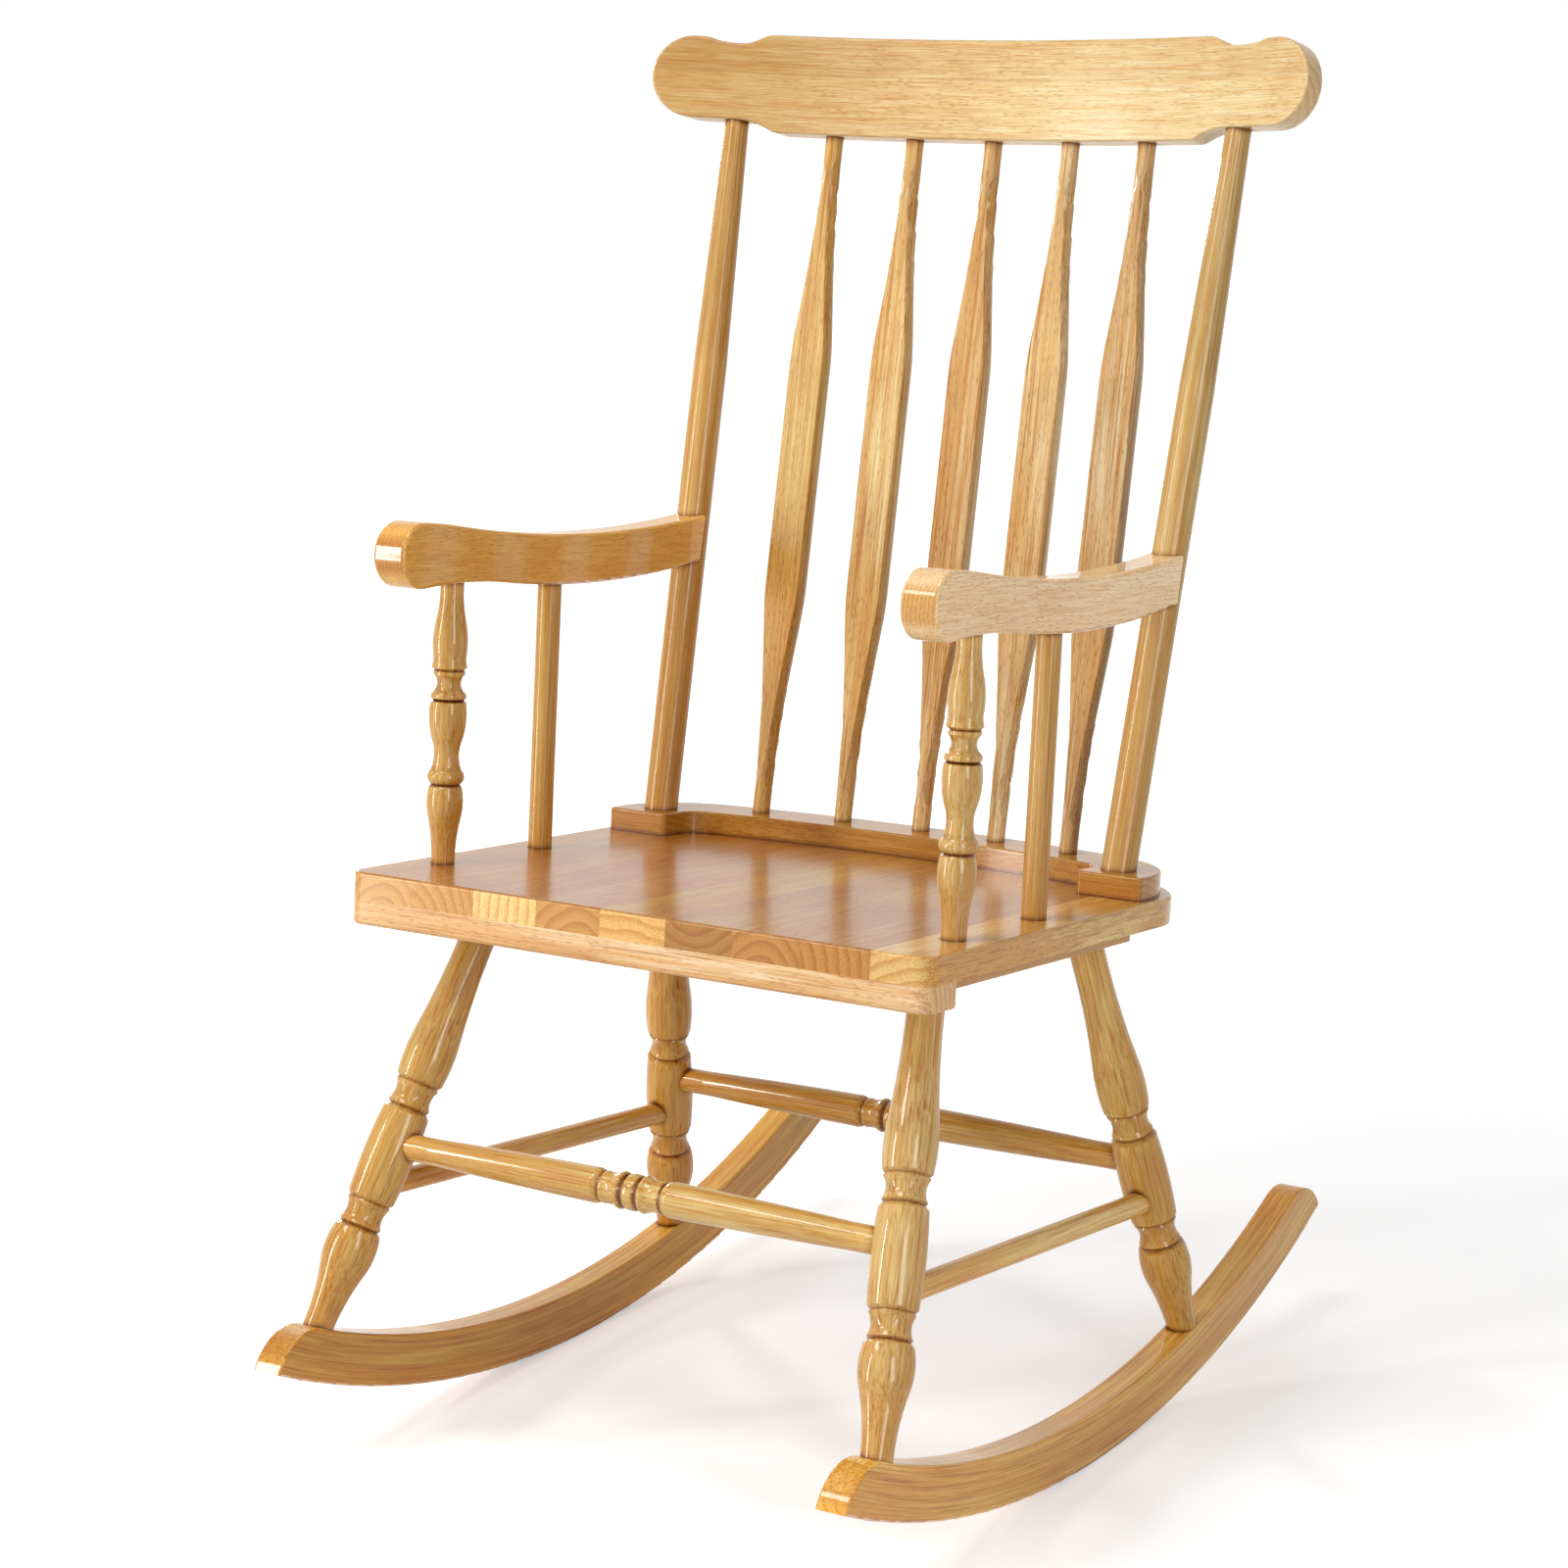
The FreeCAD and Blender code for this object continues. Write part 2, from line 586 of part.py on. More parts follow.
def post_body(side):
    """A round post, straight to near its top, where it tapers to the crest's socket."""
    start = towards(post_foot(side), post_top(side), -POST_SOCKET_DEPTH)
    length = (post_top(side) - start).Length
    wide = POST_DIAMETER / 2
    narrow = POST_TOP_DIAMETER / 2
    taper = length - POST_TAPER_LENGTH
    runs = [[(0, wide), (taper, wide)], [(taper, wide), (length, narrow)],
            [(length, narrow), (length + CREST_SOCKET_DEPTH, narrow)]]
    return placed(turned(runs), along(start, post_top(side)))


def post_sockets(side):
    """The holes for both ends of a post."""
    foot_end = towards(post_foot(side), post_top(side), -POST_SOCKET_DEPTH)
    top_end = towards(post_top(side), post_foot(side), -CREST_SOCKET_DEPTH)
    return [socket(foot_end, post_foot(side), POST_DIAMETER),
            socket(towards(post_top(side), post_foot(side), OVERRUN), top_end, POST_TOP_DIAMETER)]


SLAT_TAPER_SHARES = (
    ((0.035, 0), (0.141, 0.193), (0.229, 0.528)),
    ((0.229, 0.528), (0.296, 0.883)),
    ((0.296, 0.883), (0.32, 0.975), (0.352, 1.0)),
)


def slat_ends(number):
    """Where a slat's axis meets the rail's top and the crest's underside."""
    x = SLAT_SPACING * (number - (SLAT_COUNT - 1) / 2)
    bow = SLAT_FOOT_BOW - math.sqrt(SLAT_FOOT_BOW ** 2 - x ** 2)
    return from_seat(x, SLAT_FOOT_DEPTH - bow, RAIL_THICKNESS), crest_point(x, 0, CREST_THICKNESS / 2)


def slat_body(number):
    """An arrow slat: a turning that swells in its middle, planed flat in front and behind."""
    foot, top = slat_ends(number)
    length = (top - foot).Length
    thin = SLAT_DIAMETER / 2
    swell = SLAT_BLADE_WIDTH / 2 - thin
    taper = [[(place * length, thin + share * swell) for place, share in run] for run in SLAT_TAPER_SHARES]
    upper = [[(length - height, radius) for height, radius in run[::-1]] for run in taper[::-1]]
    lower_end = [(-SLAT_SOCKET_DEPTH, thin), taper[0][0]]
    upper_end = [upper[-1][-1], (length + SLAT_SOCKET_DEPTH, thin)]
    turning = turned([lower_end, *taper, [taper[-1][-1], upper[0][0]], *upper, upper_end])
    planed = Part.makeBox(2 * SLAT_BLADE_WIDTH, SLAT_BLADE_THICKNESS, 2 * length)
    planed.translate(Vector(-SLAT_BLADE_WIDTH, -SLAT_BLADE_THICKNESS / 2, -length / 2))
    return placed(turning.common(planed), along(foot, top))


def slat_sockets(number):
    """The holes for both ends of a slat."""
    foot, top = slat_ends(number)
    foot_end = towards(foot, top, -SLAT_SOCKET_DEPTH)
    top_end = towards(top, foot, -SLAT_SOCKET_DEPTH)
    return [socket(foot_end, towards(foot, top, SLAT_SOCKET_DEPTH), SLAT_DIAMETER),
            socket(towards(top, foot, SLAT_SOCKET_DEPTH), top_end, SLAT_DIAMETER)]


# Arms

ARM_TOP_SHARES = ((0.125, 0.976), (0.2, 0.912), (0.532, 0.74), (1.065, 1.032))
ARM_UNDER_SHARES = ((1.065, 0.308), (0.557, -0.062), (0.36, 0.003), (0.2, 0.064))


def arm_reach(side):
    """How far the post's axis lies behind the seat's front edge at the arm's height."""
    return post_at(side, ARM_UNDER_LIFT + ARM_NOSE_DIAMETER / 2)


def arm_x(side, depth):
    """The place across of an arm's middle, on its line from the front to the post."""
    post = arm_reach(side)
    return side * ARM_FRONT_SPREAD + (post.x - side * ARM_FRONT_SPREAD) * depth / post.y


def arm_blank(side):
    """The arm's side view, a round nose that runs into a long shallow sweep, sawn from thick board."""
    reach = arm_reach(side).y
    radius = ARM_NOSE_DIAMETER / 2
    centre = radius + ARM_NOSE_SETBACK
    wrap = math.radians(ARM_NOSE_WRAP)
    def at(depth, height):
        return Vector(-ARM_WIDTH / 2, depth, ARM_UNDER_LIFT + height)
    nose_top = at(centre, ARM_NOSE_DIAMETER)
    nose_end = at(centre + radius * math.sin(wrap), radius - radius * math.cos(wrap))
    top = [at(y * reach, z * ARM_NOSE_DIAMETER) for y, z in ARM_TOP_SHARES]
    under = [at(y * reach, z * ARM_NOSE_DIAMETER) for y, z in ARM_UNDER_SHARES]
    edges = [
        arc(nose_end, at(ARM_NOSE_SETBACK, radius), nose_top),
        arc(nose_top, top[0], top[1]),
        arc(top[1], top[2], top[3]),
        line(top[3], under[0]),
        arc(under[0], under[1], under[2]),
        arc(under[2], under[3], nose_end),
    ]
    blank = closed_face(edges).extrude(Vector(ARM_WIDTH, 0, 0))
    long_edges = lambda edge: edge.BoundBox.XLength < GLUE_GAP and edge.CenterOfMass.y < reach
    blank = rounded(blank, ARM_EDGE_ROUND, long_edges)
    turn = math.atan2(side * ARM_FRONT_SPREAD - arm_reach(side).x, reach)
    frame = Placement(Vector(side * ARM_FRONT_SPREAD, 0, 0), Rotation(Z_AXIS, math.degrees(turn)))
    return placed(blank, SEAT_FRAME.multiply(frame))


def behind_post(side):
    """The space behind the plane where an arm ends, a little ahead of the post's axis."""
    box = Part.makeBox(2 * SEAT_DEPTH, SEAT_DEPTH, 2 * SEAT_DEPTH)
    box.translate(Vector(-SEAT_DEPTH, -ARM_POST_GAP, 0))
    return placed(box, along(post_foot(side), post_top(side)))


def arm_body(side, blank):
    """The arm, coped round the post and bored for the turned post and the spindle."""
    post = socket(post_foot(side), post_top(side), POST_DIAMETER)
    return blank.cut(behind_post(side)).cut(post)


ARM_POST_RUN_SHARES = (
    ((0, 0.645), (0.093, 0.699), (0.167, 0.884)),
    ((0.167, 0.884), (0.227, 0.98), (0.278, 0.884)),
    ((0.278, 0.884), (0.287, 0.775)),
    ((0.287, 0.775), (0.299, 0.93)),
    ((0.299, 0.93), (0.32, 0.98), (0.338, 0.836)),
    ((0.338, 0.836), (0.375, 0.692), (0.44, 0.781)),
    ((0.44, 0.781), (0.514, 1.0), (0.584, 0.952)),
    ((0.584, 0.952), (0.591, 0.815)),
    ((0.591, 0.815), (0.598, 0.938)),
    ((0.598, 0.938), (0.607, 0.95), (0.616, 0.904)),
    ((0.616, 0.904), (0.651, 0.637), (0.683, 0.842)),
    ((0.683, 0.842), (0.694, 0.842)),
    ((0.694, 0.842), (0.699, 0.788)),
    ((0.699, 0.788), (0.709, 0.952)),
    ((0.709, 0.952), (0.732, 0.884), (0.76, 0.904)),
    ((0.76, 0.904), (0.801, 0.932), (0.88, 0.788)),
    ((0.88, 0.788), (0.931, 0.671), (1.03, 0.637)),
)


def arm_post_line(side):
    """The turned post's axis on the seat's own frame, from the seat to the arm's underside."""
    x = arm_x(side, ARM_POST_DEPTH)
    return Vector(x, ARM_POST_DEPTH, 0), Vector(x, ARM_POST_DEPTH, ARM_UNDER_LIFT)


def spindle_line(side):
    """The plain spindle's axis on the seat's own frame, from the seat to the arm's underside."""
    x = arm_x(side, SPINDLE_DEPTH)
    return Vector(x, SPINDLE_DEPTH, 0), Vector(x, SPINDLE_DEPTH, ARM_UNDER_LIFT)


def tenon_pair(ends, diameter):
    """The straight stock of a post that is let into the seat below and the arm above."""
    foot, top = [SEAT_FRAME.multVec(point) for point in ends]
    return rod(towards(foot, top, -SEAT_SOCKET_DEPTH), towards(top, foot, -ARM_SOCKET_DEPTH), diameter)


def arm_post_body(side, blank):
    """The turned post, trimmed to the arm's underside, with a tenon at each end."""
    foot, top = arm_post_line(side)
    turning = turned([sized(run, ARM_UNDER_LIFT, ARM_POST_RADIUS) for run in ARM_POST_RUN_SHARES])
    body = placed(turning, SEAT_FRAME.multiply(Placement(foot, Rotation()))).cut(blank)
    return body.fuse(tenon_pair([foot, top], ARM_POST_TENON)).removeSplitter()


def tenon_holes(ends, diameter):
    """The hole for the straight stock at both ends of a post under the arm."""
    foot, top = [SEAT_FRAME.multVec(point) for point in ends]
    return [socket(towards(foot, top, -SEAT_SOCKET_DEPTH), towards(top, foot, -ARM_SOCKET_DEPTH), diameter)]


# Screws

def screw_runs(length):
    """The side of a countersunk wood screw, from its head's rim to its point."""
    radius = SCREW_DIAMETER / 2
    rim = (0, SCREW_HEAD_DIAMETER / 2)
    neck = (SCREW_HEAD_DEPTH, radius)
    tip = (length - SCREW_DIAMETER, radius)
    return [[rim, neck], [neck, tip], [tip, (length, radius / 4)]]


def screw(head, aim, length):
    """A screw from its head's flat face towards a point."""
    return placed(turned(screw_runs(length)), along(head, aim).multiply(SIDEWAYS))


def screw_hole(head, aim, length):
    """The countersink and bore for one screw, open behind its head."""
    runs = screw_runs(length)
    rim = runs[0][0]
    return placed(turned([[(-OVERRUN, rim[1]), rim], *runs]), along(head, aim).multiply(SIDEWAYS))


def long_screw_lines():
    """Head and aim of the screws up through the rockers and through the posts into the arms."""
    lines = []
    for leg in LEGS.values():
        bottom = leg.foot.z - ROCKER_DEPTH
        lines.append((leg.at_height(bottom + FOOT_SCREW_SINK), leg.head))
    for side in SIDES.values():
        post = arm_reach(side)
        ahead = SEAT_FRAME.multVec(Vector(post.x, 0, post.z))
        axis = SEAT_FRAME.multVec(post)
        lines.append((towards(axis, ahead, SCREW_SINK - POST_DIAMETER / 2), ahead))
    return lines


SEAT_SCREW_SHARES = (0.45, 0.62)
BATTEN_SCREW_SHARES = (-0.7, 0, 0.7)


def short_screw_lines():
    """Head and aim of the screws from beneath into the seat and from the seat into the rail."""
    heads = []
    for side in SIDES.values():
        x = side * (SEAT_WIDTH / 2 - RUNNER_INSET - RUNNER_WIDTH + RUNNER_SCREW_INSET)
        heads += [(x, share * SEAT_DEPTH, UNDERSIDE) for share in SEAT_SCREW_SHARES]
    heads += [(share * SEAT_WIDTH / 2, BATTEN_WIDTH / 2, UNDERSIDE) for share in BATTEN_SCREW_SHARES]
    middle_depth = SEAT_DEPTH - RAIL_REAR_MARGIN - RAIL_WIDTH / 2
    for number in range(SLAT_COUNT - 1):
        x = SLAT_SPACING * (number - (SLAT_COUNT - 2) / 2)
        rise = SEAT_REAR_BOW - math.sqrt(SEAT_REAR_BOW ** 2 - x ** 2)
        heads.append((x, middle_depth - rise, -SEAT_THICKNESS))
    return [(from_seat(x, y, z + SCREW_SINK), from_seat(x, y, z + SHORT_SCREW)) for x, y, z in heads]


# Assembly

def build():
    """Every piece by its node name, bored for what passes into it."""
    parts = {}
    holes = []
    for (row, name), leg in LEGS.items():
        parts["leg_" + row + "_" + name] = leg.body()
        holes += leg.sockets()
    parts["stretcher_front"] = cross_stretcher("front", FRONT_CROSS_HEIGHT)
    parts["stretcher_rear"] = cross_stretcher("rear", REAR_CROSS_HEIGHT)
    crosses = []
    for row, height in (("front", FRONT_CROSS_HEIGHT), ("rear", REAR_CROSS_HEIGHT)):
        ends = stretcher_ends(*[LEGS[row, name].at_height(height) for name in ("left", "right")])
        crosses.append(socket(*ends, 2 * CROSS_END_SHARE * CROSS_RADIUS))
    for name in SIDES:
        ends = side_stretcher_ends(name)
        parts["stretcher_" + name] = rod(*ends, SIDE_DIAMETER)
        crosses.append(socket(*ends, SIDE_DIAMETER))
    for name, side in SIDES.items():
        blank = arm_blank(side)
        parts["rocker_" + name] = rocker_blank(side)
        parts["runner_" + name] = runner(side)
        parts["back_post_" + name] = post_body(side)
        parts["arm_" + name] = arm_body(side, blank)
        parts["arm_post_" + name] = arm_post_body(side, blank)
        parts["arm_spindle_" + name] = tenon_pair(spindle_line(side), SPINDLE_DIAMETER)
        holes += post_sockets(side)
        holes += tenon_holes(arm_post_line(side), ARM_POST_TENON)
        holes += tenon_holes(spindle_line(side), SPINDLE_DIAMETER)
    for number in range(SLAT_COUNT):
        parts["back_slat_" + str(number + 1)] = slat_body(number)
        holes += slat_sockets(number)
    for number, stave in enumerate(seat_staves()):
        parts["seat_stave_" + str(number + 1)] = stave
    parts["seat_batten"] = batten()
    parts["back_rail"] = back_rail()
    parts["crest_rail"] = crest_rail()
    carriers = ("rocker", "runner", "seat", "back_rail", "crest", "arm_right", "arm_left")
    for name in parts:
        if name.startswith(carriers):
            parts[name] = cut_all(parts[name], holes)
        if name.startswith("leg"):
            parts[name] = cut_all(parts[name], crosses)
    long_lines = long_screw_lines()
    short_lines = short_screw_lines()
    screw_holes = [screw_hole(*ends, LONG_SCREW) for ends in long_lines]
    screw_holes += [screw_hole(*ends, SHORT_SCREW) for ends in short_lines]
    for name in parts:
        parts[name] = cut_all(parts[name], screw_holes)
    parts["long_screws"] = Part.makeCompound([screw(*ends, LONG_SCREW) for ends in long_lines])
    parts["short_screws"] = Part.makeCompound([screw(*ends, SHORT_SCREW) for ends in short_lines])
    return parts


os.makedirs("parts", exist_ok=True)
for node, shape in build().items():
    shape.exportStep("parts/" + node + ".step")
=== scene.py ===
import math

import bpy
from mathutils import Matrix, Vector


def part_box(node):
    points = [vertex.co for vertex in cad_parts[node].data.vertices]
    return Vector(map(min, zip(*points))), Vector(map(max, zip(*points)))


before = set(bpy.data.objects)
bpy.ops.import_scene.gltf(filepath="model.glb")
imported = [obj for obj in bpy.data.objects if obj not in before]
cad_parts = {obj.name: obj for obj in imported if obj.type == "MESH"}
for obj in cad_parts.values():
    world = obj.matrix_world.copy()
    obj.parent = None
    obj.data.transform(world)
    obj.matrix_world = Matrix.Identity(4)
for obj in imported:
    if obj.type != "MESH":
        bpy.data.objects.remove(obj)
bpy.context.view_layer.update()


# Rockers
# Two runners sawn to one arc from boards glued up of strips of hardwood, then sanded and sprayed
# with clear gloss varnish. The legs stand on them and are screwed from below.
ROCKER_ARC = 0.904
ROCKER_STRIP = 0.021
ROCKER_SEEDS = {"right": 3.0, "left": 8.0}
ROCKER_TONES = {"right": (0.922, 0.678, 0.197), "left": (0.881, 0.660, 0.155)}
# The left rocker is darker towards its front: where that starts to clear, where it is clear,
# both in metres behind the middle, and the tint.
ROCKER_FADES = {"right": None, "left": (-0.12, 0.22, (0.80, 0.73, 0.66))}

X, Y, Z = range(3)
ALONG_Y = Vector((0, 1, 0))
# The share of a piece's length, at each end, whose middle gives the way that the piece runs.
NEAR_END = 0.12

# The figure is noise drawn out along the grain. Share is how much of its length noise keeps, so
# that a small share makes long streaks, and scale is how many there are across a metre.
FIBRES = {"share": 0.035, "scale": 950, "detail": 2}
LINES = {"share": 0.04, "scale": 560, "detail": 2}
STREAKS = {"share": 0.05, "scale": 230, "detail": 3, "roughness": 0.55}
DRIFT = {"share": 0.4, "scale": 16, "detail": 2}
FIBRE_WASH = [(0.34, (0.84, 0.70, 0.54)), (0.60, 1)]
# Where in the noise a mark starts and is full, and how strong it then is.
LINE_MARKS = (0.50, 0.70, 0.75)
STREAK_MARKS = (0.40, 0.62, 1.0)
DRIFT_MARKS = (0.42, 0.66, 0.7)

# What is left of a piece's tone, as red, green and blue, in the parts of its figure.
PALE_WOOD = (1.0, 1.04, 1.10)
WARM_WOOD = (0.87, 0.69, 0.46)
RICH_WOOD = (0.70, 0.46, 0.24)
PORE_DARK = (0.54, 0.30, 0.12)
SAWN_END = (0.92, 0.80, 0.62)
SAWN_RING = (0.77, 0.59, 0.40)

# Growth rings run along a pith line that leans a little, and wander on the way. A wave of scale 1
# has a ring every 0.314 m.
WAVE_PERIOD = 0.314
PITH_LEAN = (0.03, 0.02, 0)
RING_DRAW = 0.12
RING_WANDER = {"Distortion": 4.0, "Detail": 2.5, "Detail Scale": 0.6, "Detail Roughness": 0.6}
RING_PROFILE = [(0.0, 0), (0.45, 0.2), (0.88, 1), (1.0, 0.1)]
RING_SHARE = 0.35
# How squarely a face looks along the grain where it starts to be, and is, a sawn end.
SAWN_FACING = [(0.74, 0), (0.93, 1)]

# Pores are a millimetre apart and ten times as long as they are wide. Some of the places for one
# stay empty, and they crowd where the drift is high.
PORES_A_METRE = 1000
PORE_DRAW = 0.10
PORE_SHAPE = [(0.18, 1), (0.36, 0)]
PORE_CHANCE = [(0.34, 0), (0.56, 1)]
PORE_CROWD = (0.38, 0.60)
SPARSE_SHARE = 0.6

# Each strip has its own tint and its grain from another place in the tree.
STRIP_SHIFT = (0.02, 0.02, 1.5)
STRIP_TINTS = [(0.0, (0.88, 0.80, 0.70)), (0.35, (1, 0.97, 0.92)), (0.65, 1),
               (1.0, (0.95, 0.87, 0.78))]
GLUE_LINE = 0.0005
GLUE_SHADE = 0.78

# Painted shade darkens grooves and creases and the places where pieces meet, and the edges are
# lightened a little where the varnish wears thin.
GROOVE_SHADE_AND_EDGE_WEAR = [(0.43, (0.15, 0.065, 0.025)), (0.483, (0.62, 0.46, 0.31)), (0.498, 1), (0.52, 1),
               (0.56, 1.12)]
JOINT_SHADE_REACH = 0.005
JOINT_SHADE = [(0.42, (0.14, 0.06, 0.02)), (0.72, (0.66, 0.50, 0.34)), (0.93, 1)]
JOINT_SHADE_SAMPLES = 6

# Fibres stand up and pores lie low by a fraction of a millimetre, and the varnish over them has a
# skin with slow waves.
FIBRE_HEIGHT = [(0.3, 0.75), (0.7, 1)]
WOOD_RELIEF = {"Strength": 0.22, "Distance": 0.0002}
WOOD_ROUGHNESS = [(0.2, 0.36), (0.8, 0.55)]
WOOD_SHEEN = 0.08
SKIN_WAVES = {"Scale": 45, "Detail": 1}
SKIN_RELIEF = {"Strength": 0.05, "Distance": 0.0005}
VARNISH_TINT = (0.99, 0.88, 0.68)
VARNISH_IOR = 1.46


def lie_of(node, axis):
    """A piece's middle, and the way that it runs from one end to the other."""
    low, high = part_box(node)
    reach = (high[axis] - low[axis]) * NEAR_END
    corners = [corner.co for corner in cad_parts[node].data.vertices]
    first = [corner for corner in corners if corner[axis] < low[axis] + reach]
    last = [corner for corner in corners if corner[axis] > high[axis] - reach]
    foot = sum(first, Vector()) / len(first)
    head = sum(last, Vector()) / len(last)
    return (foot + head) / 2, (head - foot).normalized()


def new_finish(name):
    """A finish with no steps yet, and the tree that holds them."""
    finish = bpy.data.materials.new(name)
    finish.use_nodes = True
    finish.node_tree.nodes.clear()
    return finish, finish.node_tree


def feed(tree, socket, value):
    """Gives a socket its value, or joins it to the step that makes one."""
    if isinstance(value, bpy.types.NodeSocket):
        tree.links.new(value, socket)
    else:
        socket.default_value = value


def step(tree, kind, inputs=None, **settings):
    """One step of a finish: a node with its settings, fed by values or by earlier steps."""
    made = tree.nodes.new("ShaderNode" + kind)
    for name, value in settings.items():
        setattr(made, name, value)
    for name, value in (inputs or {}).items():
        feed(tree, made.inputs[name], value)
    return made


def reckon(tree, way, first, second=0.5):
    """Works out one number from one or two others."""
    return step(tree, "Math", {0: first, 1: second}, operation=way).outputs[0]


def opaque(colour):
    """A grey level, or the three parts of a colour, as a colour socket takes it."""
    parts = (colour,) * 3 if isinstance(colour, (int, float)) else colour
    return (*parts, 1)


def spread(tree, value, stops):
    """Turns a value into a colour or a grey, through stops of (value, colour)."""
    made = step(tree, "ValToRGB", {"Fac": value})
    ramp = made.color_ramp
    while len(ramp.elements) < len(stops):
        ramp.elements.new(0.5)
    for mark, (at, colour) in zip(ramp.elements, stops):
        mark.position = at
        mark.color = opaque(colour)
    return made.outputs["Color"]


def blend(tree, share, under, over, way="MIX"):
    """Lays one colour over another. Sockets 6 and 7 take colours, and 2 gives the result."""
    made = step(tree, "Mix", {0: share}, data_type="RGBA", blend_type=way)
    for place, colour in ((6, under), (7, over)):
        if not isinstance(colour, bpy.types.NodeSocket):
            colour = opaque(colour)
        feed(tree, made.inputs[place], colour)
    return made.outputs[2]


def washed(tree, colour, wash):
    """A colour under a see-through wash that darkens it."""
    return blend(tree, 1.0, colour, wash, "MULTIPLY")


def show(tree, shader, onto="OutputMaterial"):
    """Puts a shader on the surface, or on the world."""
    tree.links.new(shader.outputs[0], step(tree, onto).inputs["Surface"])


def grain_of(tree, place, lie, turn):
    """Coordinates with the grain along Z, from the piece's middle, rolled about its length."""
    middle, along = lie
    facing = along.to_track_quat("Z", "Y").to_euler()
    facing.rotate_axis("Z", turn)
    return step(tree, "Mapping", {"Vector": place, "Location": middle, "Rotation": facing},
                vector_type="TEXTURE").outputs["Vector"]


def bent_along(tree, grain, axis, radius):
    """Grain that runs round an arc. Axis points to its middle, or away from it if radius < 0."""
    inward = math.copysign(1, radius)
    radius = abs(radius)
    apart = step(tree, "SeparateXYZ", {"Vector": grain}).outputs
    inset = reckon(tree, "SUBTRACT", radius, reckon(tree, "MULTIPLY", apart[axis], inward))
    angle = reckon(tree, "ARCTAN2", apart["Z"], inset)
    spoke = step(tree, "CombineXYZ", {"X": apart["Z"], "Y": inset})
    out = step(tree, "VectorMath", {0: spoke.outputs[0]}, operation="LENGTH").outputs["Value"]
    depth = reckon(tree, "MULTIPLY", reckon(tree, "SUBTRACT", radius, out), inward)
    bent = step(tree, "CombineXYZ", {"X": apart["X"], "Y": apart["Y"],
                                     "Z": reckon(tree, "MULTIPLY", angle, radius)})
    tree.links.new(depth, bent.inputs[axis])
    return bent.outputs[0]


def faded(tree, grain, near, far, tint):
    """A wash that tints one end of a piece and clears between two places along it."""
    length = step(tree, "SeparateXYZ", {"Vector": grain}).outputs["Z"]
    cleared = step(tree, "MapRange", {"Value": length, "From Min": near, "From Max": far},
                   interpolation_type="SMOOTHSTEP").outputs[0]
    return spread(tree, cleared, [(0.0, tint), (1.0, 1)])


def glued_up(tree, grain, axis, width, seed):
    """Grain that starts afresh in each glued strip, with washes for the tints and glue lines."""
    apart = step(tree, "SeparateXYZ", {"Vector": grain}).outputs
    across = reckon(tree, "DIVIDE", apart[axis], width)
    number = reckon(tree, "FLOOR", across)
    chance = step(tree, "TexWhiteNoise", {"W": reckon(tree, "ADD", number, seed)},
                  noise_dimensions="1D").outputs
    seam = reckon(tree, "PINGPONG", across, 0.5)
    shift = step(tree, "VectorMath", {0: chance["Color"], 1: STRIP_SHIFT}, operation="MULTIPLY")
    moved = step(tree, "VectorMath", {0: grain, 1: shift.outputs[0]}, operation="ADD")
    tints = spread(tree, chance["Value"], STRIP_TINTS)
    line = spread(tree, seam, [(0.0, GLUE_SHADE), (min(0.9, GLUE_LINE / width), 1)])
    return moved.outputs[0], tints, line


def growth_rings(tree, grain, pith, ring):
    """Rings about the pith: pale for most of a year's growth, then a dark line."""
    about = step(tree, "Mapping", {"Vector": grain, "Location": (*pith, 0),
                                   "Rotation": PITH_LEAN, "Scale": (1, 1, RING_DRAW)})
    wave = step(tree, "TexWave", {"Vector": about.outputs["Vector"], "Scale": WAVE_PERIOD / ring,
                                  **RING_WANDER},
                wave_type="RINGS", rings_direction="Z", wave_profile="SAW")
    return spread(tree, wave.outputs["Fac"], RING_PROFILE)


def open_pores(tree, grain, drift, pores):
    """Pores cut open by the surface into short dashes, more of them in some parts."""
    at = step(tree, "Mapping", {"Vector": grain, "Scale": (1, 1, PORE_DRAW)}).outputs["Vector"]
    pore = step(tree, "TexVoronoi", {"Vector": at, "Scale": PORES_A_METRE, "Randomness": 1.0},
                feature="F1").outputs
    dash = spread(tree, pore["Distance"], PORE_SHAPE)
    chosen = spread(tree, pore["Color"], PORE_CHANCE)
    crowd = spread(tree, drift, list(zip(PORE_CROWD, (SPARSE_SHARE * pores, pores))))
    return washed(tree, washed(tree, dash, chosen), crowd)


